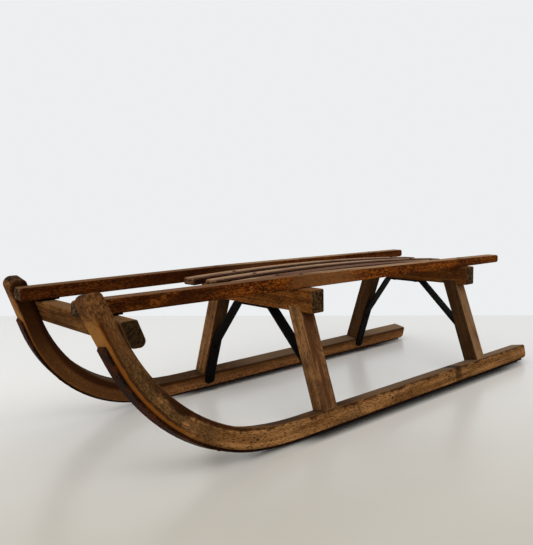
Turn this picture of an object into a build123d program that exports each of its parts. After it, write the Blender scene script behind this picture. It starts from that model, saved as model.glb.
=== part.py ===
"""Old wooden sled: bent runners with horns, splayed legs, slatted deck, iron shoes and stays.

Millimetres. +X is forward, to the horns, +Y is the sled's left and +Z is up.
Every piece is laid out from the runners' rear ends, and at the end the whole sled
is moved so that its origin is on the floor, under the middle of its box.
"""
import os
from math import cos, radians, sin, tan

from build123d import *

# Runners: rectangular wood that leans inwards, straight at the rear, bent up to a horn in front
SOLE_OUTER_Y = 180.0        # middle of the sled to a runner's outer lower corner
RUNNER_LEAN = 11.0          # degrees that a runner leans inwards
RUNNER_W = 30.0             # across the runner
RUNNER_DEPTH = 27.5         # from the sole to the top, on the straight part
HORN_DEPTH = 26.4           # from the front of the horn to its back
SOLE_BEND_START = 690.0     # rear end to where the sole begins to rise
EASE_R = 600.0              # the bend starts gently
EASE_ANGLE = 8.0
SOLE_BEND_R = 257.6         # and goes on tighter
TOP_BEND_LEAD = 14.0        # the top begins to rise this far behind the sole
BEND_ANGLE = 68.0           # degrees turned from the sole to the horn
HORN_HEIGHT = 256.0         # from the floor side of the shoe to the horn's tip, along the lean
HORN_FRONT_ROUND = 11.0
HORN_BACK_ROUND = 7.0
TAIL_TOP_ROUND = 4.0        # rounding of the runner's rear corners
TAIL_SOLE_ROUND = 9.0
RUNNER_EDGE = 1.6           # worn arrises

# Iron shoes
SHOE_W = 20.0
SHOE_T = 4.0
SHOE_TAIL_GAP = 13.0        # bare wood behind the shoe
SHOE_RISE = 72.0            # bare horn above the shoe's end, along the horn
SHOE_TIP_BEVEL = 2.5

# Legs, given at their front faces
LEG_FRONT_X = 636.0         # rear end of the runners to the front legs' front faces
LEG_REAR_X = 193.0
LEG_DEPTH = 28.5            # along the sled
LEG_T = 28.0                # across the leg
LEG_LEAN = 19.0             # degrees that the legs lean inwards
LEG_INSET = 1.5             # leg's foot inside the runner's outer face
LEG_EDGE = 2.0
TENON_X = 15.0              # tenons at both ends of a leg
TENON_T = 13.0
FOOT_TENON = 17.0
HEAD_TENON = 16.0
JOINT_GAP = 0.15            # clearance of a tenon or housing

# Bolsters
BOLSTER_HALF = 144.5
BOLSTER_UNDER = 183.5       # floor to a bolster's underside
BOLSTER_H = 34.6            # up to the rails' seat, measured over the runners' rear ends
BOLSTER_EDGE = 2.2
LEG_HOUSING = 8.0           # depth of the notch for a leg's head
DECK_SEAT_FRONT = 4.4       # the slats on the front bolster are this far above the rails' seat
DECK_SEAT_SIDE = 6.0        # slats to the edge of that raised middle
DECK_SEAT_LIP = 0.8         # depth that the slats are let into that middle

# Rails, a little closer together at the horns, level on top in front and falling to the rear
RAIL_W = 24.0
RAIL_TILT = 0.2             # degrees that the undersides rise to the front
RAIL_H = 23.7               # their seat over the runners' rear ends to their level tops
RAIL_KNEE_X = 590.0         # rear end of the runners to where the tops begin to fall
RAIL_KNEE_R = 9000.0
RAIL_FALL = 0.84            # degrees that the tops fall to the rear
RAIL_LET_IN = 0.5           # depth that the rails are let into the bolsters
RAIL_REAR_X = {"left": 47.0, "right": 62.0}  # rear end of the runners to the rails' rear ends
RAIL_REAR_Y = 121.0         # middle of the sled to the rail's middle, at its rear end
RAIL_SETBACK = 3.0          # rails' front ends behind the fronts of the horns
RAIL_EDGE = 2.2
RAIL_END_ROUND = 5.0

# Slats: bowed, with the crown towards the front
SLAT_T = 11.5
SLAT_W = 30.0
SLAT_BOW_R = 5600.0
SLAT_REAR_SINK = 2.7        # depth that the slats are let in under the rails' seat on the rear bolster
SLAT_EDGE = 2.0
SLAT_PITCH = 52.0           # from one slat's middle to the next
SLAT_REAR_X = {"left": 82.0, "middle": 85.0, "right": 108.0}  # rear end of the runners to the slats' ends
SLAT_FRONT_X = {"left": 715.0, "middle": 722.0, "right": 729.0}

# Front crossbar behind the horns
CROSSBAR_T = 25.0
CROSSBAR_H = 36.2
CROSSBAR_TOP_GAP = 2.8      # crossbar's top to the rails' undersides
CROSSBAR_PAST_HORN = 5.0    # how far its ends stand out past the horns
CROSSBAR_LOW_ROUND = 8.0
CROSSBAR_TOP_ROUND = 3.0

# Iron stays: one flat strap under each bolster and down both pairs of legs
STAY_W = 20.0
STAY_T = 4.0
STAY_FOOT_Z = 12.0          # floor to the strap's lower end
STAY_BEND_Z = 101.0         # floor to where it leaves the leg
STAY_BEND_Y = 45.0          # middle of the strap to where it meets the bolster
STAY_SHIFT = {"front": -7.5, "rear": -14.5}  # middle of the strap off the middle of the sled
STAY_BEND_R = 9.0
STAY_FOOT_ROUND = 6.0

# Small iron strips between the crossbar and the rails
STRAP_W = 14.0
STRAP_T = 2.2
STRAP_TAIL = 6.0            # length that stands out behind the crossbar

BEYOND = 3000.0             # larger than the sled, for blocks that cut everything past a plane

FLOOR_LIFT = (RUNNER_W + SHOE_W) / 2 * sin(radians(RUNNER_LEAN))
SOLE = SHOE_T
TOP = SHOE_T + RUNNER_DEPTH
HEAD_Z = BOLSTER_UNDER + LEG_HOUSING
RAIL_UNDER = BOLSTER_UNDER + BOLSTER_H  # floor to the rails' undersides, over the runners' rear ends
RAIL_TOP = RAIL_UNDER + RAIL_H          # floor to the rails' tops, in front
SIDES = {"left": 1, "right": -1}
LEG_XS = {"front": LEG_FRONT_X, "rear": LEG_REAR_X}
SLATS = {"left": 1, "middle": 0, "right": -1}


def at_side(solid, side):
    """The left-hand solid itself, or its mirror image for the right."""
    return solid if side > 0 else mirror(solid, about=Plane.XZ)


def up_the_lean(height, inwards):
    """Y and Z at a height along the left runner's lean and a distance inwards from its outer face."""
    lean = radians(RUNNER_LEAN)
    y = SOLE_OUTER_Y - height * sin(lean) - inwards * cos(lean)
    z = FLOOR_LIFT + height * cos(lean) - inwards * sin(lean)
    return y, z


def height_on_lean(z, inwards):
    """Height along the left runner's lean of the point that is at z."""
    lean = radians(RUNNER_LEAN)
    return (z - FLOOR_LIFT + inwards * sin(lean)) / cos(lean)


def bend_line(start_x, base, radius):
    """Level line from the rear, gentle start of the bend and the bend itself, with y up the lean."""
    level = Line((0, base), (start_x, base))
    ease = JernArc(level @ 1, level % 1, EASE_R, EASE_ANGLE)
    return [level, ease, JernArc(ease @ 1, ease % 1, radius, BEND_ANGLE - EASE_ANGLE)]


def along_horn(bend, height):
    """Point of the horn's straight, from the end of a bend, at a height along the lean."""
    return bend.X + (height - bend.Y) / tan(radians(BEND_ANGLE)), height


def top_bend_radius():
    """Radius of the top's bend that leaves the horn its depth."""
    turn = radians(BEND_ANGLE)
    same_radius_depth = TOP_BEND_LEAD * sin(turn) + RUNNER_DEPTH * cos(turn)
    return SOLE_BEND_R + (same_radius_depth - HORN_DEPTH) / (1 - cos(turn - radians(EASE_ANGLE)))


SOLE_BEND = bend_line(SOLE_BEND_START, SOLE, SOLE_BEND_R)
SOLE_BEND_END = SOLE_BEND[-1] @ 1
TOP_BEND = bend_line(SOLE_BEND_START - TOP_BEND_LEAD, TOP, top_bend_radius())
TOP_BEND_END = TOP_BEND[-1] @ 1


def runner_plane(inwards):
    """Plane inside the left runner's outer face: x forward, y up the lean, z inwards."""
    lean = radians(RUNNER_LEAN)
    y, z = up_the_lean(0, inwards)
    return Plane(origin=(0, y, z), x_dir=(1, 0, 0), z_dir=(0, -cos(lean), -sin(lean)))


def sole_line():
    """Line of the sole from the runner's rear end to the horn's front tip, with y up the lean."""
    return [*SOLE_BEND, Line(SOLE_BEND_END, along_horn(SOLE_BEND_END, HORN_HEIGHT))]


def rounded(face, rounds):
    """Face with the corners nearest to the given points rounded, each by its radius."""
    for corner, radius in rounds.items():
        face = fillet(face.vertices().sort_by_distance(corner)[0], radius)
    return face


def runner_face():
    """Side view of a runner, with y measured up the lean."""
    sole = sole_line()
    front_tip = sole[-1] @ 1
    back_tip = along_horn(TOP_BEND_END, HORN_HEIGHT)
    face = make_face([
        *sole,
        Line(front_tip, back_tip),
        Line(back_tip, TOP_BEND_END),
        *TOP_BEND,
        Line((0, TOP), (0, SOLE)),
    ])
    return rounded(face, {
        tuple(front_tip)[:2]: HORN_FRONT_ROUND,
        tuple(back_tip)[:2]: HORN_BACK_ROUND,
        (0, TOP): TAIL_TOP_ROUND,
        (0, SOLE): TAIL_SOLE_ROUND,
    })


def runner():
    """Left runner with worn arrises and the mortises for its two legs."""
    wood = extrude(runner_plane(0) * runner_face(), RUNNER_W)
    outer_face, inner_face = wood.faces().sort_by(SortBy.AREA)[-2:]
    wood = chamfer(outer_face.edges() + inner_face.edges(), RUNNER_EDGE)
    for front_x in LEG_XS.values():
        wood -= leg_mortises(front_x)
    return wood


def shoe():
    """Left iron shoe: a strip along the sole, round the bend and up the horn."""
    sole = Wire(sole_line())
    strip = sole.trim(SHOE_TAIL_GAP / sole.length, 1 - SHOE_RISE / sole.length)
    face = make_face(offset(strip, SHOE_T, side=Side.RIGHT, closed=True))
    end, along = strip @ 1, strip % 1
    tip = end + SHOE_T * Vector(along.Y, -along.X)
    face = chamfer(face.vertices().sort_by_distance(tip)[0], SHOE_TIP_BEVEL)
    return extrude(runner_plane((RUNNER_W - SHOE_W) / 2) * face, SHOE_W)


def under_level(z):
    """Everything under a level plane."""
    return Pos(0, 0, z) * Box(BEYOND, BEYOND, BEYOND, align=(Align.CENTER, Align.CENTER, Align.MAX))


def above_runner(height):
    """Everything above a plane square to the left runner's lean."""
    block = Box(BEYOND, BEYOND, BEYOND, align=(Align.CENTER, Align.CENTER, Align.MIN))
    y, z = up_the_lean(height, 0)
    return Pos(0, y, z) * Rot(RUNNER_LEAN, 0, 0) * block


def leg_bar(front_x, size_x, size_t):
    """Long bar along the middle line of a left leg, past both its ends."""
    foot_y, foot_z = up_the_lean(TOP, LEG_INSET)
    length = 2 * (HEAD_Z + HEAD_TENON)
    bar = Pos(0, -LEG_T / 2, 0) * Box(size_x, size_t, length)
    return Pos(front_x - LEG_DEPTH / 2, foot_y, foot_z) * Rot(LEG_LEAN, 0, 0) * bar


def leg(front_x):
    """Left leg with a tenon at its foot and one at its head."""
    bar = leg_bar(front_x, LEG_DEPTH, LEG_T)
    bar = fillet(bar.edges().sort_by(SortBy.LENGTH)[-4:], LEG_EDGE)
    body = bar & above_runner(TOP) & under_level(HEAD_Z)
    peg = leg_bar(front_x, TENON_X, TENON_T)
    return body + (peg & above_runner(TOP - FOOT_TENON) & under_level(HEAD_Z + HEAD_TENON))


def leg_mortises(front_x):
    """Room for the tenons of a left leg, in the runner and in the bolster."""
    peg = leg_bar(front_x, TENON_X + 2 * JOINT_GAP, TENON_T + 2 * JOINT_GAP)
    return peg & above_runner(TOP - FOOT_TENON - JOINT_GAP) & under_level(HEAD_Z + HEAD_TENON + JOINT_GAP)


def leg_housing(front_x):
    """Notch for the head of a left leg, open to the bolster's front and back."""
    bar = leg_bar(front_x, LEG_DEPTH + 2 * BOLSTER_EDGE, LEG_T + 2 * JOINT_GAP)
    return bar & under_level(HEAD_Z) & above_runner(TOP)


def slat_crown():
    """X of the slats' crown, and Z of their undersides there."""
    front = LEG_FRONT_X - LEG_DEPTH / 2
    rear = LEG_REAR_X - LEG_DEPTH / 2
    front_z = rail_under(front) + DECK_SEAT_FRONT
    rear_z = rail_under(rear) - SLAT_REAR_SINK
    crown_x = (front + rear) / 2 + SLAT_BOW_R * (front_z - rear_z) / (front - rear)
    return crown_x, front_z + (front - crown_x) ** 2 / (2 * SLAT_BOW_R)


def slat_blank(name, width):
    """Bowed strip between two arcs about one centre, its underside on the bolsters."""
    rear_x, front_x = SLAT_REAR_X[name], SLAT_FRONT_X[name]
    crown_x, crown_z = slat_crown()
    centre = (crown_x, crown_z - SLAT_BOW_R)
    arcs = Circle(SLAT_BOW_R + SLAT_T) - Circle(SLAT_BOW_R)
    window = Pos((front_x + rear_x) / 2 - crown_x, SLAT_BOW_R) * Rectangle(front_x - rear_x, SLAT_BOW_R)
    side_view = Pos(*centre) * (arcs & window)
    return Pos(0, SLATS[name] * SLAT_PITCH, 0) * extrude(Plane.XZ * side_view, width / 2, both=True)


def slat(name):
    """Slat with worn edges."""
    return chamfer(slat_blank(name, SLAT_W).edges(), SLAT_EDGE)


def bolster(which):
    """Bolster with housings for the legs' heads and seats for the rails and slats."""
    front_x = LEG_XS[which]
    middle_x = front_x - LEG_DEPTH / 2
    top = rail_under(middle_x) + RAIL_LET_IN
    upwards = (Align.CENTER, Align.CENTER, Align.MIN)
    block = Box(LEG_DEPTH, 2 * BOLSTER_HALF, top - BOLSTER_UNDER, align=upwards)
    beam = Pos(middle_x, 0, BOLSTER_UNDER) * fillet(block.edges(), BOLSTER_EDGE)
    if which == "front":
        half = SLAT_PITCH + SLAT_W / 2 + DECK_SEAT_SIDE
        seat = Box(LEG_DEPTH, 2 * half, BOLSTER_EDGE + DECK_SEAT_FRONT + DECK_SEAT_LIP, align=upwards)
        beam += Pos(middle_x, 0, top - RAIL_LET_IN - BOLSTER_EDGE) * seat
    for side_name, side in SIDES.items():
        beam -= at_side(leg_mortises(front_x), side)
        beam -= at_side(leg_housing(front_x), side)
        beam -= at_side(rail_blank(side_name, RAIL_W + 2 * JOINT_GAP), side)
    for name in SLATS:
        beam -= slat_blank(name, SLAT_W + 2 * JOINT_GAP)
    return beam


def rail_under(x):
    """Z of the rails' undersides at a place along the sled."""
    return RAIL_UNDER + x * tan(radians(RAIL_TILT))


def rail_blank(side_name, width):
    """Bar of a rail, laid out on the left, from its rear end to the left horn's inner face."""
    middle_z = (rail_under(SOLE_BEND_END.X) + RAIL_TOP) / 2
    front_x = along_horn(SOLE_BEND_END, height_on_lean(middle_z, RUNNER_W))[0] - RAIL_SETBACK
    front_y = up_the_lean(height_on_lean(middle_z, RUNNER_W), RUNNER_W)[0] - RAIL_W / 2
    rear_x = RAIL_REAR_X[side_name]
    along = Vector(front_x - rear_x, front_y - RAIL_REAR_Y, 0)
    knee = (RAIL_KNEE_X - rear_x, RAIL_TOP)
    ends = [
        (0, RAIL_TOP - knee[0] * tan(radians(RAIL_FALL))),
        (0, rail_under(rear_x)),
        (along.length, rail_under(front_x)),
        (along.length, RAIL_TOP),
    ]
    face = make_face(Polyline(*ends, knee, close=True))
    face = rounded(face, {knee: RAIL_KNEE_R, **{corner: RAIL_END_ROUND for corner in ends}})
    side_plane = Plane(origin=(rear_x, RAIL_REAR_Y, 0), x_dir=along, z_dir=(along.Y, -along.X, 0))
    return extrude(side_plane * face, width / 2, both=True)


def rail(side_name, runner_wood):
    """Rail, laid out on the left: worn round, its front end let in against the left runner's horn."""
    bar = rail_blank(side_name, RAIL_W)
    long_edges = bar.edges().filter_by(lambda edge: edge.length > 2 * RAIL_W)
    return fillet(long_edges, RAIL_EDGE) - runner_wood


def crossbar_corners():
    """Section of the crossbar: front top, rear top, rear bottom and front bottom, as X and Z."""
    top = rail_under(SOLE_BEND_END.X) - CROSSBAR_TOP_GAP
    bottom = top - CROSSBAR_H
    front = [along_horn(TOP_BEND_END, height_on_lean(z, RUNNER_W))[0] for z in (top, bottom)]
    return [(front[0], top), (front[0] - CROSSBAR_T, top), (front[1] - CROSSBAR_T, bottom), (front[1], bottom)]


def crossbar(runner_wood):
    """Crossbar behind the horns, sloping with them and cut to their backs."""
    corners = crossbar_corners()
    section = make_face(Polyline(*corners, close=True))
    rounds = [CROSSBAR_TOP_ROUND, CROSSBAR_TOP_ROUND, CROSSBAR_LOW_ROUND, CROSSBAR_LOW_ROUND]
    section = rounded(section, dict(zip(corners, rounds)))
    middle_z = (corners[0][1] + corners[3][1]) / 2
    half = up_the_lean(height_on_lean(middle_z, 0), 0)[0] + CROSSBAR_PAST_HORN
    bar = extrude(Plane.XZ * section, half, both=True)
    for side in SIDES.values():
        bar -= at_side(runner_wood, side)
    return bar


def crossing(point_a, lean_a, point_b, lean_b):
    """Where two lines in the Y and Z plane cross, each given by a point and its inward lean."""
    slope_a = tan(radians(lean_a))
    slope_b = tan(radians(lean_b))
    offset_a = point_a[0] + slope_a * point_a[1]
    offset_b = point_b[0] + slope_b * point_b[1]
    z = (offset_b - offset_a) / (slope_b - slope_a)
    return offset_a - slope_a * z, z


def stay(which):
    """Iron strap from one runner up its leg, under the bolster and down the other side."""
    runner_inner = up_the_lean(TOP, RUNNER_W)
    leg_inner_top = up_the_lean(TOP, LEG_INSET)
    lean = radians(LEG_LEAN)
    leg_inner = (leg_inner_top[0] - LEG_T * cos(lean), leg_inner_top[1] - LEG_T * sin(lean))
    bend = (leg_inner[0] - (STAY_BEND_Z - leg_inner[1]) * tan(lean), STAY_BEND_Z)
    foot = up_the_lean(height_on_lean(STAY_FOOT_Z, RUNNER_W), RUNNER_W)
    left = [foot, crossing(runner_inner, RUNNER_LEAN, leg_inner, LEG_LEAN), bend]
    right = [(-y, z) for y, z in reversed(left)]
    middle = [(STAY_SHIFT[which] + y, BOLSTER_UNDER) for y in (STAY_BEND_Y, -STAY_BEND_Y)]
    path = FilletPolyline(*left, *middle, *right, radius=STAY_BEND_R)
    section = make_face(offset(path, STAY_T, side=Side.LEFT, closed=True))
    strap = extrude(Plane.YZ * section, STAY_W / 2, both=True)
    foot_corners = strap.edges().filter_by(Axis.X, reverse=True).sort_by(Axis.Z)[:4]
    return Pos(LEG_XS[which] - LEG_DEPTH / 2, 0, 0) * fillet(foot_corners, STAY_FOOT_ROUND)


def horn_strap():
    """Left iron strip on the crossbar, its rear end turned up to the rail."""
    front_top, rear_top = crossbar_corners()[:2]
    tail = rear_top[0] - STRAP_TAIL
    section = make_face(Polyline(
        front_top,
        (tail, front_top[1]),
        (tail, rail_under(tail)),
        (tail + STRAP_T, rail_under(tail)),
        (tail + STRAP_T, front_top[1] + STRAP_T),
        (front_top[0], front_top[1] + STRAP_T),
        close=True,
    ))
    y = up_the_lean(height_on_lean(rail_under(tail), RUNNER_W), RUNNER_W)[0] - RAIL_W / 2
    return Pos(0, y, 0) * extrude(Plane.XZ * section, STRAP_W / 2, both=True)


def sled():
    """Every node of the sled by name, laid out from the runners' rear ends."""
    left_runner = runner()
    nodes = {"crossbar_front": crossbar(left_runner)}
    for side_name, side in SIDES.items():
        nodes[f"runner_{side_name}"] = at_side(left_runner, side)
        nodes[f"shoe_{side_name}"] = at_side(shoe(), side)
        nodes[f"rail_{side_name}"] = at_side(rail(side_name, left_runner), side)
        nodes[f"horn_strap_{side_name}"] = at_side(horn_strap(), side)
        for which, front_x in LEG_XS.items():
            nodes[f"leg_{which}_{side_name}"] = at_side(leg(front_x), side)
    for which, front_x in LEG_XS.items():
        nodes[f"bolster_{which}"] = bolster(which)
        nodes[f"stay_{which}"] = stay(which)
    for name in SLATS:
        nodes[f"slat_{name}"] = slat(name)
    return nodes


def main():
    """Centre the sled over its origin and write one file per node."""
    nodes = sled()
    box = Compound(list(nodes.values())).bounding_box()
    centred = Location((-(box.min.X + box.max.X) / 2, 0, 0))
    os.makedirs("parts", exist_ok=True)
    for name, solid in nodes.items():
        export_step(solid.moved(centred), f"parts/{name}.step")
    print(f"{len(nodes)} nodes, {box.size.X:.1f} x {box.size.Y:.1f} x {box.size.Z:.1f}, low at {box.min.Z:.3f}")


if __name__ == "__main__":
    main()
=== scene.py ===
"""Looks of an old slatted wooden sled: aged wood, rusty iron, fasteners, floor, light and camera."""
import logging
import math
from dataclasses import dataclass, field
from enum import Enum

import bmesh
import bpy
from mathutils import Matrix, Vector


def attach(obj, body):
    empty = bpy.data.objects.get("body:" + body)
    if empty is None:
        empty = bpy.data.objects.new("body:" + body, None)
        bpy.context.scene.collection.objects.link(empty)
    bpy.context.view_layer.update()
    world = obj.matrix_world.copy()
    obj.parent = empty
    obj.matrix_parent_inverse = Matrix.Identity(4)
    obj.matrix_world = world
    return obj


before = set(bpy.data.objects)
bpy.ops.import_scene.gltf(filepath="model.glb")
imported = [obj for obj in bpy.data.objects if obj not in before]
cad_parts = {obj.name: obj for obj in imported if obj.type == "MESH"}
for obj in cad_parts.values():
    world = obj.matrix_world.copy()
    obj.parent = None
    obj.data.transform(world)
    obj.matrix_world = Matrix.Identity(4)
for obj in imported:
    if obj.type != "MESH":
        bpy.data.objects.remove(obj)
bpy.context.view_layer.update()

BODY = "root"
SIDES = {"left": 1, "right": -1}

Colour = tuple[float, float, float]
Span = tuple[float, float]
Stretch = tuple[float, float, float, float]
Value = "Signal | float"
log = logging.getLogger("sled")


class GrainRun(Enum):
    """Way that the fibres of a piece run."""

    LENGTHWISE = "lengthwise"
    CROSSWISE = "crosswise"
    LEG = "leg"
    BENT = "bent"


class Signal:
    """Shader socket that takes part in Python arithmetic, each operation adding one Math node."""

    def __init__(self, sheet: "ShaderSheet", socket: bpy.types.NodeSocket) -> None:
        """Wrap a socket of a sheet's tree."""
        self.sheet = sheet
        self.socket = socket

    def __add__(self, other: Value) -> "Signal":
        """Sum."""
        return self.sheet.maths("ADD", self, other)

    def __radd__(self, other: float) -> "Signal":
        """Sum with a plain number on the left."""
        return self.sheet.maths("ADD", other, self)

    def __sub__(self, other: Value) -> "Signal":
        """Difference."""
        return self.sheet.maths("SUBTRACT", self, other)

    def __rsub__(self, other: float) -> "Signal":
        """Difference from a plain number on the left."""
        return self.sheet.maths("SUBTRACT", other, self)

    def __mul__(self, other: Value) -> "Signal":
        """Product."""
        return self.sheet.maths("MULTIPLY", self, other)

    def __rmul__(self, other: float) -> "Signal":
        """Product with a plain number on the left."""
        return self.sheet.maths("MULTIPLY", other, self)

    def __gt__(self, other: Value) -> "Signal":
        """One where this is the larger, else nought."""
        return self.sheet.maths("GREATER_THAN", self, other)

    def __abs__(self) -> "Signal":
        """Size without the sign."""
        return self.sheet.maths("ABSOLUTE", self)


@dataclass(frozen=True)
class Clouds:
    """Noise that is alike all ways: clouds in a metre, finer layers and how far they are pulled about."""

    scale: float
    detail: float = 3.0
    pull: float = 0.0


class ShaderSheet:
    """Node tree of one material, with the one method that makes its nodes."""

    samples = 6
    relief_strength = 0.8

    def __init__(self, tree: bpy.types.NodeTree, ground: Colour = (0.0, 0.0, 0.0)) -> None:
        """Empty a tree and start on it with a ground colour."""
        self.tree = tree
        self.colour: Signal | Colour = ground
        tree.nodes.clear()

    @classmethod
    def for_material(cls, name: str, ground: Colour) -> tuple["ShaderSheet", bpy.types.Material]:
        """New material and the sheet of its tree.

        Args:
            name: Name of the material.
            ground: Colour under all its paint.

        Returns:
            The sheet and the material.
        """
        material = bpy.data.materials.new(name)
        material.use_nodes = True
        return cls(material.node_tree, ground), material

    def node(self, kind: str, settings: dict | None = None, sockets: dict | None = None,
             output: str | int = 0) -> Signal | None:
        """Make a node, set it up and connect it.

        Args:
            kind: Blender's type of the node.
            settings: Properties of the node, set first.
            sockets: Values or signals for its inputs, by name or number.
            output: Output that is handed back, by name or number.

        Returns:
            The chosen output as a signal, or nothing from a node that has none.
        """
        made = self.tree.nodes.new(kind)
        for key, value in (settings or {}).items():
            setattr(made, key, value)
        for key, value in (sockets or {}).items():
            socket = made.inputs[key]
            if isinstance(value, Signal):
                self.tree.links.new(value.socket, socket)
            elif socket.type == "RGBA" and len(value) == 3:
                socket.default_value = (*value, 1.0)
            else:
                socket.default_value = value
        return Signal(self, made.outputs[output]) if made.outputs else None

    def maths(self, operation: str, *values: Value) -> Signal:
        """Result of a Math node on one to three values."""
        return self.node("ShaderNodeMath", {"operation": operation}, dict(enumerate(values)))

    def blend(self, factor: Value, first: Signal | Colour, second: Signal | Colour) -> Signal:
        """Colour from the first at a factor of nought to the second at one."""
        return self.node("ShaderNodeMix", {"data_type": "RGBA"}, {0: factor, 6: first, 7: second}, 2)

    def paint(self, factor: Value, colour: Signal | Colour) -> None:
        """Lay a colour over the paint so far, not at all at nought and fully at one."""
        self.colour = self.blend(factor, self.colour, colour)

    def window(self, value: Signal, span: Span) -> Signal:
        """Smooth step from nought at a span's low end to one at its high end."""
        sockets = {"Value": value, "From Min": span[0], "From Max": span[1]}
        return self.node("ShaderNodeMapRange", {"interpolation_type": "SMOOTHSTEP"}, sockets)

    def below(self, value: Signal, span: Span) -> Signal:
        """Smooth step from one at a span's low end to nought at its high end."""
        return 1.0 - self.window(value, span)

    def band(self, value: Signal, stretch: Stretch) -> Signal:
        """Smooth step up over a stretch's first two numbers and down again over its last two."""
        return self.window(value, stretch[:2]) * self.below(value, stretch[2:])

    def noise(self, place: Signal, clouds: Clouds) -> Signal:
        """Cloudy noise over a vector, about one half on average.

        Args:
            place: Vector that the noise reads.
            clouds: Kind of noise.

        Returns:
            The noise's value.
        """
        sockets = {"Vector": place, "Scale": clouds.scale}
        sockets |= {"Detail": clouds.detail, "Distortion": clouds.pull}
        return self.node("ShaderNodeTexNoise", {}, sockets)

    def clouded(self, clouds: Clouds) -> Signal:
        """Cloudy noise over the surface."""
        return self.noise(self.place(), clouds)

    def vector(self, x: Value, y: Value, z: Value) -> Signal:
        """Vector from three values."""
        return self.node("ShaderNodeCombineXYZ", {}, {"X": x, "Y": y, "Z": z})

    def split(self, vector: Signal) -> list[Signal]:
        """The three values of a vector."""
        first = self.node("ShaderNodeSeparateXYZ", {}, {"Vector": vector})
        return [Signal(self, output) for output in first.socket.node.outputs]

    def place(self) -> Signal:
        """Point of the surface in the sled's frame, in metres."""
        return self.node("ShaderNodeTexCoord", output="Object")

    def facing(self) -> Signal:
        """Direction that the surface faces."""
        return self.node("ShaderNodeNewGeometry", output="Normal")

    def worn_normal(self, radius: float) -> Signal:
        """Direction of the surface with its arrises rounded off."""
        return self.node("ShaderNodeBevel", {"samples": self.samples}, {"Radius": radius})

    def arris(self, radius: float) -> Signal:
        """How near an outer or inner edge is, from nought on the flat.

        Args:
            radius: Reach from the edge, in metres.

        Returns:
            The signal, about 0.3 on a square edge.
        """
        sockets = {0: self.worn_normal(radius), 1: self.facing()}
        along = self.node("ShaderNodeVectorMath", {"operation": "DOT_PRODUCT"}, sockets, "Value")
        return 1.0 - along

    def tucked(self, reach: float) -> Signal:
        """How hidden a point is by what stands within a reach in metres, nought in the open."""
        settings = {"samples": self.samples}
        return 1.0 - self.node("ShaderNodeAmbientOcclusion", settings, {"Distance": reach}, "AO")

    def surface(self, sockets: dict, height: Signal, depth: float, rounding: float) -> None:
        """Close the tree with a Principled shader and its relief.

        Args:
            sockets: Values or signals of the shader, apart from its colour.
            height: Relief, about nought to one.
            depth: Real height of the relief, in metres.
            rounding: Radius that the arrises are softened by, in metres.
        """
        relief = {"Height": height, "Distance": depth, "Strength": self.relief_strength}
        relief["Normal"] = self.worn_normal(rounding)
        normal = self.node("ShaderNodeBump", {}, relief)
        sockets = {"Base Color": self.colour, **sockets, "Normal": normal}
        shader = self.node("ShaderNodeBsdfPrincipled", {}, sockets)
        self.node("ShaderNodeOutputMaterial", {}, {"Surface": shader})


@dataclass(frozen=True)
class RunnerLine:
    """Where a runner lies, for fibres and nails that follow its bend, in metres and degrees."""

    outer_y: float = 0.180
    lift: float = 0.00477
    lean: float = 11.0
    bend_x: float = 0.2344
    bend_height: float = 0.2649
    bend_radius: float = 0.2609
    turn: float = 68.0

    @property
    def lean_sin(self) -> float:
        """Sine of the lean."""
        return math.sin(math.radians(self.lean))

    @property
    def lean_cos(self) -> float:
        """Cosine of the lean."""
        return math.cos(math.radians(self.lean))

    def point(self, x: float, height: float, inwards: float, side: int) -> Vector:
        """Point of a runner in the sled's frame.

        Args:
            x: Place along the sled.
            height: Height up the lean.
            inwards: Distance in from the outer face.
            side: 1 for the left runner, -1 for the right.

        Returns:
            The point.
        """
        y = self.outer_y - height * self.lean_sin - inwards * self.lean_cos
        z = self.lift + height * self.lean_cos - inwards * self.lean_sin
        return Vector((x, side * y, z))

    def way(self, across: float, up: float, side: int) -> Vector:
        """Direction in a runner's plane: across along the sled and up the lean."""
        return Vector((across, -side * up * self.lean_sin, up * self.lean_cos))


RUNNER_LINE = RunnerLine()
LEG_LEAN = math.radians(19.0)
# Width of the lanes that rails and slats lie in, and how far the grain shifts from piece to piece
LANE = 0.06
LANE_SHIFT = 3.1
LEG_SHIFT = 2.3
RUNNER_SHIFT = 3.7
# How far a surface has to face a way to count as a top, a side, an upright face or end grain
TOP_FACE: Span = (0.5, 0.9)
SIDE_FACE: Span = (0.4, 0.8)
SLOPING_FACE: Span = (0.3, 0.7)
END_FACE: Span = (0.78, 0.93)


@dataclass(frozen=True)
class Figure:
    """Noise drawn out along the fibres: clouds in a metre along and across them, layers and pull."""

    along: float
    across: float
    detail: float
    pull: float = 0.0


@dataclass
class Spot:
    """Point of a surface in metres, the way that it faces, and 1 on the left or -1 on the right."""

    x: Signal
    y: Signal
    z: Signal
    nx: Signal
    ny: Signal
    nz: Signal
    side: Signal

    @classmethod
    def of(cls, sheet: ShaderSheet) -> "Spot":
        """Spot of the surface that a sheet colours."""
        x, y, z = sheet.split(sheet.place())
        return cls(x, y, z, *sheet.split(sheet.facing()), (y > 0.0) * 2.0 - 1.0)


# Along, across and through the fibres, how squarely they end here, and how far the surface faces up
Lay = tuple[Signal, Signal, Signal, Signal, Signal]


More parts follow.
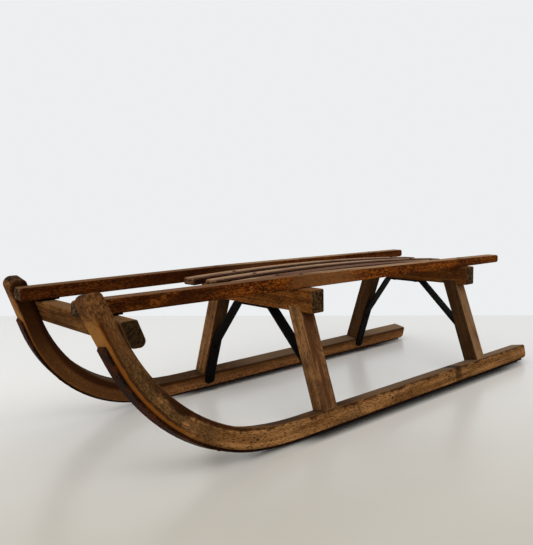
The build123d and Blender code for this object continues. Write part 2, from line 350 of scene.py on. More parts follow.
@dataclass
class Surface:
    """Surface of a wooden piece: its spot, its fibres in metres and the sides that it faces."""

    sheet: ShaderSheet
    spot: Spot
    along: Signal
    across: Signal
    through: Signal
    squarely: Signal
    upper: Signal

    @classmethod
    def of(cls, sheet: ShaderSheet, run: GrainRun) -> "Surface":
        """Surface of a piece.

        Args:
            sheet: Sheet that the nodes go on.
            run: Way that the fibres run.

        Returns:
            The surface's signals.
        """
        lay = {
            GrainRun.LENGTHWISE: cls._lengthwise,
            GrainRun.CROSSWISE: cls._crosswise,
            GrainRun.LEG: cls._up_leg,
            GrainRun.BENT: cls._round_bend,
        }[run]
        spot = Spot.of(sheet)
        return cls(sheet, spot, *lay(sheet, spot))

    @staticmethod
    def _lengthwise(sheet: ShaderSheet, spot: Spot) -> Lay:
        """Fibres along the sled."""
        lane = sheet.maths("ROUND", spot.y * (1.0 / LANE))
        return spot.x + lane * LANE_SHIFT, spot.y, spot.z, abs(spot.nx), spot.nz

    @staticmethod
    def _crosswise(sheet: ShaderSheet, spot: Spot) -> Lay:
        """Fibres across the sled."""
        return spot.y, spot.x, spot.z, abs(spot.ny), spot.nz

    @staticmethod
    def _up_leg(sheet: ShaderSheet, spot: Spot) -> Lay:
        """Fibres up a leaning leg.

        Args:
            sheet: Not used.
            spot: Spot of the leg's surface.

        Returns:
            The lay of the fibres.
        """
        lean_sin, lean_cos = math.sin(LEG_LEAN), math.cos(LEG_LEAN)
        out = abs(spot.y)
        along = spot.z * lean_cos - out * lean_sin + spot.side * LEG_SHIFT
        through = out * lean_cos + spot.z * lean_sin
        squarely = abs(spot.nz * lean_cos - spot.side * spot.ny * lean_sin)
        return along, spot.x, through, squarely, spot.nz

    @staticmethod
    def _round_bend(sheet: ShaderSheet, spot: Spot) -> Lay:
        """Fibres along a leaning runner, round its bend and up its horn.

        Args:
            sheet: Sheet that the nodes go on.
            spot: Spot of the runner's surface.

        Returns:
            The lay of the fibres, measured across from the shoe's running face.
        """
        line = RUNNER_LINE
        out = line.outer_y - abs(spot.y)
        lifted = spot.z - line.lift
        height = out * line.lean_sin + lifted * line.lean_cos
        inwards = out * line.lean_cos - lifted * line.lean_sin
        ahead = spot.x - line.bend_x
        under = line.bend_height - height
        turned = sheet.maths("MAXIMUM", sheet.maths("ARCTAN2", ahead, under), 0.0)
        turned = sheet.maths("MINIMUM", turned, math.radians(line.turn))
        cosine, sine = sheet.maths("COSINE", turned), sheet.maths("SINE", turned)
        along = ahead * cosine - under * sine + turned * line.bend_radius + line.bend_x
        depth = line.bend_height - (ahead * sine + under * cosine)
        up_lean = spot.nz * line.lean_cos - spot.side * spot.ny * line.lean_sin
        squarely = abs(spot.nx * cosine + up_lean * sine)
        upper = up_lean * cosine - spot.nx * sine
        return along + spot.side * RUNNER_SHIFT, depth, inwards, squarely, upper

    def figured(self, figure: Figure) -> Signal:
        """Noise drawn out along the fibres."""
        across = (self.across * figure.across, self.through * figure.across)
        stretched = self.sheet.vector(self.along * figure.along, *across)
        return self.sheet.noise(stretched, Clouds(1.0, figure.detail, figure.pull))

    def ends(self) -> Signal:
        """One on end grain."""
        return self.sheet.window(self.squarely, END_FACE)

    def top(self) -> Signal:
        """One on what faces up."""
        return self.sheet.window(self.upper, TOP_FACE)

    def outside(self) -> Signal:
        """One on what faces away from the sled's middle."""
        return self.sheet.window(self.spot.side * self.spot.ny, SIDE_FACE)

    def inside(self) -> Signal:
        """One on what faces the sled's middle."""
        return self.sheet.window(self.spot.side * self.spot.ny * -1.0, SIDE_FACE)


STREAKS = Figure(6.0, 120.0, 4.0, 0.6)
THREADS = Figure(40.0, 900.0, 2.0)
DASHES = Figure(150.0, 800.0, 2.0, 0.2)
CLUSTERS = Figure(28.0, 70.0, 2.0, 0.4)
RINGS = Figure(6.0, 210.0, 4.0, 0.8)
PATINA = Clouds(18.0, 4.0, 0.4)
SPECKS = Clouds(330.0, 2.0)


@dataclass(frozen=True)
class WoodFinish:
    """Aged wood: streaks, short dark pores, patina, worn tops and arrises, joints darkened by dirt and
    painted shade, end grain.

    Spans are where a mark sets in, lengths and places are in metres, the other numbers are strengths.
    """

    name: str
    run: GrainRun
    dark: Colour
    light: Colour
    worn: Colour
    pore: Colour = (0.016, 0.005, 0.0015)
    grime: Colour = (0.012, 0.006, 0.003)
    end: Colour = (0.060, 0.030, 0.012)
    arris: Colour = (0.20, 0.105, 0.045)
    pores: float = 0.75
    patina: float = 0.45
    top_wear: float = 0.8
    arris_wear: float = 0.5
    joint_grime_and_shade: float = 0.8
    roughness: float = 0.75
    gloss: float = 0.02
    streak_span: Span = (0.36, 0.64)
    pore_span: Span = (0.60, 0.71)
    clustering: float = 0.2
    thread_span: Span = (0.52, 0.72)
    thread_share: float = 0.4
    patina_span: Span = (0.46, 0.70)
    rub_span: Span = (0.62, 1.0)
    ring_span: Span = (0.36, 0.62)
    arris_reach: float = 0.0035
    arris_span: Span = (0.035, 0.16)
    chip_span: Span = (0.80, 1.12)
    # Reach and span of the dirt and painted shade in the joints
    joint_reach: float = 0.016
    joint_span: Span = (0.30, 0.85)
    pore_roughness: float = 0.14
    patina_roughness: float = 0.12
    rub_polish: float = 0.08
    grain_relief: float = 0.35
    pore_relief: float = 0.5
    relief: float = 0.0007
    rounding: float = 0.0012

    def marks(self, wood: Surface) -> None:
        """Paint the marks of one kind of piece only; plain wood has none."""

    def material(self) -> bpy.types.Material:
        """Make the wood's material.

        Returns:
            The material.
        """
        sheet, material = ShaderSheet.for_material(self.name, self.dark)
        wood = Surface.of(sheet, self.run)
        streak, thread, rings = wood.figured(STREAKS), wood.figured(THREADS), wood.figured(RINGS)
        cloud = sheet.clouded(PATINA)
        dashes = wood.figured(DASHES) + wood.figured(CLUSTERS) * self.clustering
        pored = sheet.window(dashes, self.pore_span) * self.pores
        aged = sheet.window(cloud, self.patina_span) * self.patina
        rubbed = wood.top() * sheet.window(streak + cloud, self.rub_span) * self.top_wear
        sheet.paint(sheet.window(streak, self.streak_span), self.light)
        sheet.paint(pored, self.pore)
        threads = sheet.window(thread, self.thread_span) * (self.thread_share * self.pores)
        sheet.paint(threads, self.pore)
        sheet.paint(aged, self.grime)
        sheet.paint(rubbed, self.worn)
        self.marks(wood)
        end_colour = sheet.blend(sheet.window(rings, self.ring_span), self.end, self.grime)
        sheet.paint(wood.ends(), end_colour)
        self._handled(sheet, cloud)
        rough = self.roughness + self.pore_roughness * pored + self.patina_roughness * aged
        rough = rough - self.rub_polish * rubbed
        height = (streak + thread) * self.grain_relief - pored * self.pore_relief
        height = height - wood.ends() * rings * self.pore_relief
        sockets = {"Roughness": rough, "Specular IOR Level": self.gloss}
        sheet.surface(sockets, height, self.relief, self.rounding)
        return material

    def _handled(self, sheet: ShaderSheet, cloud: Signal) -> None:
        """Chipped arrises, and dirt with painted shade in the joints.

        Args:
            sheet: Sheet that the nodes go on.
            cloud: Noise that the patina follows.
        """
        edge = sheet.window(sheet.arris(self.arris_reach), self.arris_span)
        chipped = edge * sheet.window(sheet.clouded(SPECKS) + cloud, self.chip_span) * self.arris_wear
        sheet.paint(chipped, self.arris)
        # Dirt and painted shade where other parts stand close, from an occlusion mask
        grime_and_shade = sheet.window(sheet.tucked(self.joint_reach), self.joint_span) * self.joint_grime_and_shade
        sheet.paint(grime_and_shade, self.grime)


@dataclass(frozen=True)
class RailFinish(WoodFinish):
    """Rail's wood: flecked, stained in front, tan by the front legs, unworn inside, pale on top behind."""

    stain: Colour = (0.022, 0.005, 0.001)
    tan: Colour = (0.170, 0.074, 0.025)
    bright: Colour = (0.360, 0.105, 0.014)
    inner: Colour = (0.020, 0.004, 0.001)
    rubbed: Colour = (0.32, 0.195, 0.105)
    blotches: Figure = Figure(16.0, 60.0, 4.0, 0.6)
    flecks: Figure = Figure(210.0, 400.0, 2.0)
    dark_fleck_span: Span = (0.50, 0.64)
    dark_flecks: float = 0.6
    bright_fleck_span: Span = (0.34, 0.46)
    bright_flecks: float = 0.4
    tan_x: Stretch = (-0.04, 0.05, 0.11, 0.17)
    tanned: float = 0.65
    stain_x: Span = (0.22, 0.35)
    stain_span: Span = (0.28, 0.52)
    stained: float = 0.9
    stained_inside: float = 0.25
    seat_to_x: Span = (0.02, 0.14)
    seat_span: Span = (0.22, 0.50)
    seat_wear: float = 0.85
    unworn_rear: float = 0.45
    unworn_from_x: Span = (-0.05, 0.18)
    unworn_gain: float = 0.4
    unworn_to_x: Span = (0.26, 0.36)
    unworn_loss: float = 0.35

    def marks(self, wood: Surface) -> None:
        """Flecks, blotches in front, a tan middle, a pale seat and a dark inner side.

        Args:
            wood: Surface of the rail.
        """
        sheet, x = wood.sheet, wood.spot.x
        blotch, fleck = wood.figured(self.blotches), wood.figured(self.flecks)
        upright, inside = sheet.below(wood.upper, SLOPING_FACE), wood.inside()
        dark = upright * sheet.window(fleck, self.dark_fleck_span) * self.dark_flecks
        sheet.paint(dark, self.stain)
        bright = upright * sheet.below(fleck, self.bright_fleck_span) * self.bright_flecks
        sheet.paint(bright, self.bright)
        middle = upright * sheet.band(x, self.tan_x) * self.tanned
        sheet.paint(middle, self.tan)
        front = upright * (1.0 - inside * (1.0 - self.stained_inside)) * sheet.window(x, self.stain_x)
        stained = front * sheet.window(blotch, self.stain_span) * self.stained
        sheet.paint(stained, self.stain)
        seat = wood.top() * sheet.below(x, self.seat_to_x) * sheet.window(blotch, self.seat_span)
        sheet.paint(seat * self.seat_wear, self.rubbed)
        unworn = self.unworn_rear + self.unworn_gain * sheet.window(x, self.unworn_from_x)
        unworn = unworn - self.unworn_loss * sheet.window(x, self.unworn_to_x)
        sheet.paint(inside * unworn, self.inner)


@dataclass(frozen=True)
class SlatFinish(WoodFinish):
    """Slat's wood: rubbed pale on top, with painted shade along the tops' left edges, over the left slat
    and on the narrow sides.
    """

    # Painted shade: on the narrow sides, along the tops' left edges and over the left slat's top
    side: Colour = (0.010, 0.002, 0.001)
    gap_shade: Colour = (0.080, 0.024, 0.007)
    pitch: float = 0.052
    edge_span: Span = (0.001, 0.007)
    edge_gap_shade: float = 0.75
    left_y: Span = (0.030, 0.035)
    left_x: Stretch = (-0.33, -0.20, 0.10, 0.18)
    left_slat_shade: float = 0.85
    side_shade: float = 0.95

    def marks(self, wood: Surface) -> None:
        """Painted shade along the left edges, over the left slat and on the narrow sides.

        Args:
            wood: Surface of the slat.
        """
        sheet, x, y = wood.sheet, wood.spot.x, wood.spot.y
        off_middle = y - sheet.maths("ROUND", y * (1.0 / self.pitch)) * self.pitch
        edge = sheet.window(off_middle, self.edge_span) * self.edge_gap_shade
        left = sheet.window(y, self.left_y) * sheet.band(x, self.left_x)
        # Painted shade of the gaps along each top's left edge and over the left slat
        shaded_top = sheet.maths("MAXIMUM", edge, left * self.left_slat_shade) * wood.top()
        sheet.paint(shaded_top, self.gap_shade)
        # Painted shade on the narrow sides
        beside = sheet.window(abs(wood.spot.ny), SIDE_FACE)
        sheet.paint(beside * self.side_shade, self.side)


@dataclass(frozen=True)
class BolsterFinish(WoodFinish):
    """Bolster's wood: the rear one is darker than the front one, by painted shade."""

    # Colour, place and strength of the painted shade on the rear bolster
    shaded: Colour = (0.045, 0.014, 0.003)
    rear_x: Span = (-0.2, 0.0)
    rear_shade: float = 0.5

    def marks(self, wood: Surface) -> None:
        """Painted shade on the rear one."""
        rear = wood.sheet.below(wood.spot.x, self.rear_x)
        wood.sheet.paint(rear * self.rear_shade, self.shaded)


@dataclass(frozen=True)
class LegFinish(WoodFinish):
    """Leg's wood: rear legs bleached outside, front legs reddish there, with painted shade on the rear
    legs' front faces and on all the inner sides.
    """

    bleached: Colour = (0.215, 0.130, 0.068)
    reddish: Colour = (0.062, 0.022, 0.008)
    # Colour of the painted shade
    shaded: Colour = (0.026, 0.011, 0.004)
    patches: Figure = Figure(24.0, 90.0, 4.0, 0.5)
    patch_span: Span = (0.32, 0.60)
    rear_x: Span = (-0.2, 0.0)
    foot_z: Span = (0.04, 0.12)
    rear_bleach: float = 0.7
    foot_bleach: float = 0.1
    rear_shade: float = 0.85
    foot_clean: float = 0.15
    reddened: float = 0.3
    reddened_patches: float = 0.6
    inner_shade: float = 0.7

    def marks(self, wood: Surface) -> None:
        """Sides that weathered unlike each other, and painted shade on the rear legs' front faces and the
        inner sides.

        Args:
            wood: Surface of the leg.
        """
        sheet, spot, outside = wood.sheet, wood.spot, wood.outside()
        rear, foot = sheet.below(spot.x, self.rear_x), sheet.below(spot.z, self.foot_z)
        fore = 1.0 - rear
        patch = sheet.window(wood.figured(self.patches), self.patch_span)
        bleached = outside * patch * (rear * self.rear_bleach + fore * foot * self.foot_bleach)
        sheet.paint(bleached, self.bleached)
        # Painted shade on the rear legs' front faces
        ahead = sheet.window(spot.nx, SIDE_FACE)
        sheet.paint(ahead * rear * self.rear_shade, self.shaded)
        red = self.reddened + self.reddened_patches * patch
        sheet.paint(outside * fore * (1.0 - foot * self.foot_clean) * red, self.reddish)
        # Painted shade on the inner sides
        sheet.paint(wood.inside() * self.inner_shade, self.shaded)


@dataclass(frozen=True)
class RunnerFinish(WoodFinish):
    """Runner's wood: dirty in the bend, rubbed golden along its front, bleached on top behind, with
    painted light low on the inner face and painted shade along its top edges and on the horn's inner face.
    """

    golden: Colour = (0.335, 0.145, 0.035)
    orange: Colour = (0.185, 0.060, 0.008)
    dirt: Colour = (0.038, 0.018, 0.005)
    dust: Colour = (0.118, 0.066, 0.026)
    reddish: Colour = (0.086, 0.030, 0.008)
    # Near black: the tip's blotches, the line beside the strip, and painted shade
    inner: Colour = (0.018, 0.004, 0.001)
    # Colour of the painted light from the floor
    lit: Colour = (0.56, 0.220, 0.076)
    bleached: Colour = (0.225, 0.141, 0.080)
    smears: Clouds = Clouds(34.0, 4.0, 0.7)
    grit: Clouds = Clouds(380.0, 3.0)
    blotches: Clouds = Clouds(210.0, 4.0, 0.4)

    # Horn: redder than the straight, blotched at its tip
    horn_z: Span = (0.10, 0.18)
    horn_red: float = 0.36
    horn_smears: float = 0.32
    horn_smear_span: Span = (0.30, 0.60)
    tip_z: Span = (0.195, 0.235)
    blotch_span: Span = (0.44, 0.64)
    blotched: float = 0.6

    # Inner face: painted light from the floor below, painted shade along the top and on the horn, reddish
    # in the bend
    lit_depth: Span = (0.010, 0.026)
    lit_grit: Span = (0.36, 0.66)
    lit_low: float = 0.6
    inner_bend_x: Span = (0.16, 0.28)
    lit_loss: float = 0.75
    bend_red: float = 0.4
    bend_grit: float = 0.5
    bend_grit_span: Span = (0.38, 0.60)
    red_depth: Span = (0.010, 0.030)
    red_smear_span: Span = (0.26, 0.50)
    red_top: float = 0.75
    # Painted shade: the line along the inner face's top, and the horn's inner face
    top_shade_depth: Span = (0.0245, 0.0300)
    top_shade_line: float = 0.8
    horn_inner_shade: float = 0.7

    # Grime in the bend, bleached top and a painted shade line along the top of the outer face
    grime_x: Span = (0.315, 0.37)
    grime_z: Span = (0.15, 0.21)
    grime_inside: float = 0.1
    grime_span: Span = (0.28, 0.50)
    grime_grit: Span = (0.40, 0.72)
    bend_grime: float = 0.85
    tail_bleach: float = 0.9
    tail_x: Span = (-0.42, -0.30)
    tail_loss: float = 0.35
    middle_x: Span = (-0.02, 0.10)
    middle_loss: float = 0.50
    thin_x: Stretch = (0.16, 0.25, 0.34, 0.40)
    thinner: float = 0.004
    edge_smear: float = 0.018
    # Depth band and strength of the painted shade line along the outer face's top
    edge_depth: Span = (0.0345, 0.0390)
    edge_shade: float = 0.85

    # Orange strip beside the shoe with a dark line along it, and the rubbed front
    low_horn_z: Span = (0.212, 0.232)
    strip_z: Span = (0.03, 0.09)
    strip_smear: float = 0.006
    strip_depth: Span = (0.0135, 0.0165)
    strip_wear: float = 0.95
    line_depth: Stretch = (0.0125, 0.0150, 0.0160, 0.0195)
    line_dark: float = 0.7
    front_face: Span = (0.5, 0.85)
    front_z: Span = (0.03, 0.12)
    front_smear_span: Span = (0.22, 0.50)
    golden_z: Span = (0.165, 0.195)
    golden_wear: float = 0.9

    # Stain on the left runner by the rear leg
    stain_x: Stretch = (-0.253, -0.243, -0.231, -0.221)
    stain_depth: Span = (-0.015, 0.025)
    stain_smear_span: Span = (0.25, 0.45)
    stained: float = 0.8

    def marks(self, wood: Surface) -> None:
        """Reddish horn, inner face with painted light and shade, weather with a painted shade line, rubbed
        front, blotched tip and stain, in this order.

        Args:
            wood: Surface of the runner.
        """
        sheet, spot = wood.sheet, wood.spot
        smear = sheet.clouded(self.smears)
        on_horn = sheet.window(spot.z, self.horn_z)
        red = self.horn_red + self.horn_smears * sheet.window(smear, self.horn_smear_span)
        sheet.paint(on_horn * red, self.reddish)
        self._inner_face(wood)
        self._weather_and_edge_shade(wood)
        self._front(wood)
        blotch = sheet.window(sheet.clouded(self.blotches), self.blotch_span)
        sheet.paint(sheet.window(spot.z, self.tip_z) * blotch * self.blotched, self.inner)
        stain = sheet.band(spot.x, self.stain_x) * (spot.y > 0.0)
        stain = stain * sheet.window(wood.across, self.stain_depth)
        stain = stain * sheet.window(smear, self.stain_smear_span) * self.stained
        sheet.paint(stain, self.grime)

    def _inner_face(self, wood: Surface) -> None:
        """Face towards the sled's middle, with painted light low down and painted shade along the top and
        on the horn.

        Args:
            wood: Surface of the runner.
        """
        sheet, inside = wood.sheet, wood.inside()
        smear, grit = sheet.clouded(self.smears), sheet.clouded(self.grit)
        on_horn = sheet.window(wood.spot.z, self.horn_z)
        bent = sheet.window(wood.spot.x, self.inner_bend_x)
        # Painted light from the floor on the lower inner face
        lit = sheet.below(wood.across, self.lit_depth) * (1.0 - bent * self.lit_loss)
        grained = sheet.blend(sheet.window(grit, self.lit_grit), self.reddish, self.lit)
        sheet.paint(inside * (1.0 - on_horn) * lit * self.lit_low, grained)
        mottled = bent * (self.bend_red + self.bend_grit * sheet.window(grit, self.bend_grit_span))
        sheet.paint(inside * mottled, self.reddish)
        red = sheet.window(smear, self.red_smear_span) * sheet.window(wood.across, self.red_depth)
        sheet.paint(inside * red * self.red_top, self.reddish)
        # Painted shade line along the top of the inner face
        line = sheet.window(wood.across, self.top_shade_depth) * self.top_shade_line
        sheet.paint(inside * line, self.inner)
        # Painted shade on the horn's inner face
        sheet.paint(on_horn * inside * self.horn_inner_shade, self.inner)

    def _weather_and_edge_shade(self, wood: Surface) -> None:
        """Grime in the bend, the bleached top and the painted shade line under it.

        Args:
            wood: Surface of the runner.
        """
        sheet, x, z = wood.sheet, wood.spot.x, wood.spot.z
        smear, grit = sheet.clouded(self.smears), sheet.clouded(self.grit)
        on_bend = sheet.window(x, self.grime_x) * sheet.below(z, self.grime_z)
        on_bend = on_bend * (1.0 - wood.inside() * (1.0 - self.grime_inside))
        grimy = on_bend * sheet.window(smear, self.grime_span) * self.bend_grime
        gritty = sheet.blend(sheet.window(grit, self.grime_grit), self.dirt, self.dust)
        sheet.paint(grimy, gritty)
        bleach = self.tail_bleach - self.tail_loss * sheet.window(x, self.tail_x)
        bleach = bleach - self.middle_loss * sheet.window(x, self.middle_x)
        sheet.paint(wood.top() * bleach, self.bleached)
        thinner = sheet.band(x, self.thin_x) * self.thinner
        # Painted shade line along the top of the outer face
        edge = sheet.window(wood.across - thinner + smear * self.edge_smear, self.edge_depth)
        edge = wood.outside() * edge * sheet.below(z, self.horn_z) * self.edge_shade
        sheet.paint(edge, self.inner)

    def _front(self, wood: Surface) -> None:
        """Strip beside the shoe and the rubbed front of the horn.

        Args:
            wood: Surface of the runner.
        """
        sheet, z = wood.sheet, wood.spot.z
        smear = sheet.clouded(self.smears)
        low_horn = sheet.below(z, self.low_horn_z)
        strip = sheet.window(z, self.strip_z) * low_horn * wood.outside()
        depth = wood.across + smear * self.strip_smear
        beside_shoe = sheet.below(depth, self.strip_depth) * strip * self.strip_wear
        sheet.paint(beside_shoe, self.orange)
        line = sheet.band(depth, self.line_depth) * strip * self.line_dark
        sheet.paint(line, self.inner)
        front = sheet.window(wood.upper * -1.0, self.front_face) * sheet.window(z, self.front_z) * low_horn
        rubbed = front * sheet.window(smear, self.front_smear_span) * self.golden_wear
        bared = sheet.blend(sheet.window(z, self.golden_z), self.orange, self.golden)
        sheet.paint(rubbed, bared)


@dataclass(frozen=True)
class IronFinish:
    """Old iron: dark skin, rust, a rubbed running face and painted shade low down by the floor."""

    name: str
    skin: Colour
    rust: Colour
    rustiness: float
    rubbed: float
    roughness: float
    bare: Colour = (0.12, 0.10, 0.085)
    edge: Colour = (0.045, 0.030, 0.021)
    clouds: Clouds = Clouds(40.0, 5.0, 0.5)
    grain: Clouds = Clouds(420.0, 3.0)
    grain_share: float = 0.5
    rust_span: Span = (0.66, 0.95)
    # Heights and strength of the painted shade low down
    low_z: Span = (0.012, 0.05)
    low_shade: float = 0.85
    under_face: Span = (-0.95, -0.7)
    bare_span: Span = (0.30, 0.55)
    edge_reach: float = 0.0014
    edge_span: Span = (0.04, 0.2)
    edge_cloud_span: Span = (0.4, 0.6)
    edge_wear: float = 0.35
    rust_roughness: float = 0.22
    bare_polish: float = 0.18
    metal: float = 0.2
    bare_metal: float = 0.6
    gloss: float = 0.06
    grain_relief: float = 0.6
    cloud_relief: float = 0.4
    relief: float = 0.0005
    rounding: float = 0.0006

    def material(self) -> bpy.types.Material:
        """Make the iron's material.

        Returns:
            The material.
        """
        sheet, material = ShaderSheet.for_material(self.name, self.skin)
        spot = Spot.of(sheet)
        cloud, grain = sheet.clouded(self.clouds), sheet.clouded(self.grain)
        rusty = sheet.window(cloud + grain * self.grain_share, self.rust_span) * self.rustiness
        sheet.paint(rusty, self.rust)
        # Painted shade on the lowest part, by the floor
        sheet.paint(sheet.below(spot.z, self.low_z) * self.low_shade, self.skin)
        bare = sheet.below(spot.nz, self.under_face) * self.rubbed * sheet.window(cloud, self.bare_span)
        sheet.paint(bare, self.bare)
        edge = sheet.window(sheet.arris(self.edge_reach), self.edge_span)
        edge = edge * sheet.window(cloud, self.edge_cloud_span) * self.edge_wear
        sheet.paint(edge, self.edge)
        rough = self.roughness + self.rust_roughness * rusty - self.bare_polish * bare
        metal = self.metal + self.bare_metal * bare - self.metal * rusty
        sockets = {"Roughness": rough, "Metallic": metal, "Specular IOR Level": self.gloss}
        height = grain * self.grain_relief + cloud * self.cloud_relief
        sheet.surface(sockets, height, self.relief, self.rounding)
        return material


RAIL_WOOD = RailFinish(
    "rail_wood", GrainRun.LENGTHWISE, dark=(0.095, 0.020, 0.002), light=(0.225, 0.060, 0.006),
    worn=(0.150, 0.078, 0.036), end=(0.115, 0.066, 0.034), pores=0.95, arris=(0.24, 0.13, 0.062))
SLAT_WOOD = SlatFinish(
    "slat_wood", GrainRun.LENGTHWISE, dark=(0.070, 0.025, 0.008), light=(0.135, 0.053, 0.020),
    worn=(0.310, 0.182, 0.097), end=(0.15, 0.075, 0.033), pores=0.5, patina=0.35, top_wear=0.95,
    arris=(0.27, 0.15, 0.075), roughness=0.62)
LEG_WOOD = LegFinish(
    "leg_wood", GrainRun.LEG, dark=(0.160, 0.069, 0.023), light=(0.315, 0.151, 0.058),
    worn=(0.17, 0.09, 0.040), pores=0.6, arris=(0.27, 0.16, 0.085))
BOLSTER_WOOD = BolsterFinish(
    "bolster_wood", GrainRun.CROSSWISE, dark=(0.155, 0.050, 0.010), light=(0.310, 0.108, 0.022),
    worn=(0.15, 0.070, 0.025), pores=0.65, end=(0.086, 0.046, 0.017))
CROSSBAR_WOOD = WoodFinish(
    "crossbar_wood", GrainRun.CROSSWISE, dark=(0.105, 0.039, 0.009), light=(0.220, 0.094, 0.026),
    worn=(0.16, 0.082, 0.036), pores=0.6, end=(0.036, 0.019, 0.006))
RUNNER_WOOD = RunnerFinish(
    "runner_wood", GrainRun.BENT, dark=(0.185, 0.078, 0.022), light=(0.350, 0.165, 0.056),
    worn=(0.034, 0.015, 0.005), end=(0.072, 0.035, 0.014), top_wear=0.95, patina=0.35,
    arris=(0.22, 0.11, 0.045), arris_wear=0.15)
SHOE_IRON = IronFinish(
    "shoe_iron", skin=(0.010, 0.003, 0.001), rust=(0.075, 0.017, 0.003), rustiness=0.9, rubbed=0.6,
    roughness=0.7)
STAY_IRON = IronFinish(
    "stay_iron", skin=(0.0015, 0.0012, 0.001), rust=(0.008, 0.0035, 0.0015), rustiness=0.35, rubbed=0.0,
    roughness=0.65)


class FinishShelf:
    """Materials that have been made so far, one for each finish."""

    def __init__(self) -> None:
        """Start empty."""
        self._made: dict[str, bpy.types.Material] = {}

    def take(self, finish: WoodFinish | IronFinish) -> bpy.types.Material:
        """Material of a finish, made the first time it is asked for.

        Args:
            finish: The finish.

        Returns:
            Its material.
        """
        if finish.name not in self._made:
            self._made[finish.name] = finish.material()
        return self._made[finish.name]


@dataclass
class SubAssembly:
    """Group of the sled's nodes with the pieces that the scene adds to them."""

    shelf: FinishShelf

    def dress(self, finish: WoodFinish | IronFinish, nodes: list[str]) -> None:
        """Give nodes their material.

        Args:
            finish: Finish of these nodes.
            nodes: Names of the nodes.
        """
        for name in nodes:
            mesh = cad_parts[name].data
            mesh.materials.clear()
            mesh.materials.append(self.shelf.take(finish))
            log.info("node %s: %s", name, finish.name)

    def add_piece(self, bm: bmesh.types.BMesh, name: str, finish: IronFinish) -> None:
        """Turn a bmesh into a piece that rides on the sled.

        Args:
            bm: The shape, in the sled's frame; it is freed here.
            name: Name of the piece.
            finish: Finish of the piece, put in its material slot.
        """
        mesh = bpy.data.meshes.new(name)
        bmesh.ops.recalc_face_normals(bm, faces=bm.faces)
        bm.to_mesh(mesh)
        bm.free()
        piece = bpy.data.objects.new(name, mesh)
        bpy.context.scene.collection.objects.link(piece)
        mesh.materials.append(self.shelf.take(finish))
        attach(piece, BODY)
        log.info("piece %s: %d faces", name, len(mesh.polygons))

    @staticmethod
    def seat(node: str, start: Vector, way: Vector) -> tuple[Vector, Vector]:
        """Point where a line from outside meets a node.

        Args:
            node: Name of the node.
            start: Start of the line, outside the node.
            way: Direction of the line.

        Returns:
            The point and the direction that the surface faces there.

        Raises:
            ValueError: The line misses the node.
        """
        hit, point, normal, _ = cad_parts[node].ray_cast(start, way.normalized())
        if not hit:
            raise ValueError(f"no seat on {node} from {tuple(start)}")
        return point, normal


@dataclass(frozen=True)
class Fastener:
    """Round head of a screw or nail, in metres."""

    radius: float
    height: float
    dome: float
    slot: float = 0.0
    slot_share: float = 0.6
    sunk: float = 0.0006
    sides: int = 20
    dome_steps: int = 3
    top_margin: float = 1e-5

    def add_to(self, bm: bmesh.types.BMesh, seat: Vector, facing: Vector, turn: float) -> None:
        """Add a head to a shape.

        Args:
            bm: Shape that grows by the head.
            seat: Point of the surface that carries it.
            facing: Direction that the surface faces.
            turn: Turn of the slot, in degrees.
        """
        head = bmesh.new()
        bmesh.ops.create_circle(head, cap_ends=True, radius=self.radius, segments=self.sides)
        body = bmesh.ops.extrude_face_region(head, geom=head.faces[:])
        top = [item for item in body["geom"] if isinstance(item, bmesh.types.BMVert)]
        bmesh.ops.translate(head, verts=top, vec=(0.0, 0.0, self.height + self.sunk))
        rim = [item for item in body["geom"] if isinstance(item, bmesh.types.BMEdge)]
        bmesh.ops.bevel(head, geom=rim, offset=self.dome, segments=self.dome_steps, profile=0.5,
                        affect="EDGES", material=-1)
        if self.slot:
            self._cut_slot(head)
        bmesh.ops.recalc_face_normals(head, faces=head.faces)
        upright = facing.to_track_quat("Z", "Y").to_matrix().to_4x4()
        turned = upright @ Matrix.Rotation(math.radians(turn), 4, "Z")
        lowered = Matrix.Translation(seat - facing * self.sunk)
        bmesh.ops.transform(head, matrix=lowered @ turned, verts=head.verts)
        mesh = bpy.data.meshes.new("head")
        head.to_mesh(mesh)
        head.free()
        bm.from_mesh(mesh)
        bpy.data.meshes.remove(mesh)

    def _cut_slot(self, head: bmesh.types.BMesh) -> None:
        """Sink a straight slot across the top of a head.

        Args:
            head: The head, still lying at the origin.
        """
        for offset in (-self.slot / 2, self.slot / 2):
            whole = head.verts[:] + head.edges[:] + head.faces[:]
            bmesh.ops.bisect_plane(head, geom=whole, plane_co=(offset, 0.0, 0.0), plane_no=(1.0, 0.0, 0.0))
        highest = max(vert.co.z for vert in head.verts)
        strip = [face for face in head.faces
                 if abs(face.calc_center_median().x) < self.slot / 2
                 and face.calc_center_median().z > highest - self.top_margin]
        sunk = bmesh.ops.extrude_face_region(head, geom=strip)
        low = [item for item in sunk["geom"] if isinstance(item, bmesh.types.BMVert)]
        bmesh.ops.translate(head, verts=low, vec=(0.0, 0.0, -self.slot_share * self.height))


WOOD_SCREW = Fastener(radius=0.0036, height=0.0009, dome=0.0006, slot=0.0009)
STAY_SCREW = Fastener(radius=0.0042, height=0.0020, dome=0.0015, slot=0.0010)
NAIL = Fastener(radius=0.0024, height=0.0007, dome=0.0005)
PIN = Fastener(radius=0.0014, height=0.0003, dome=0.0002)

# Middles of the legs and of the bolsters on them, along the sled
LEG_X = {"front": 0.1185, "rear": -0.3245}
UP = Vector((0.0, 0.0, 1.0))


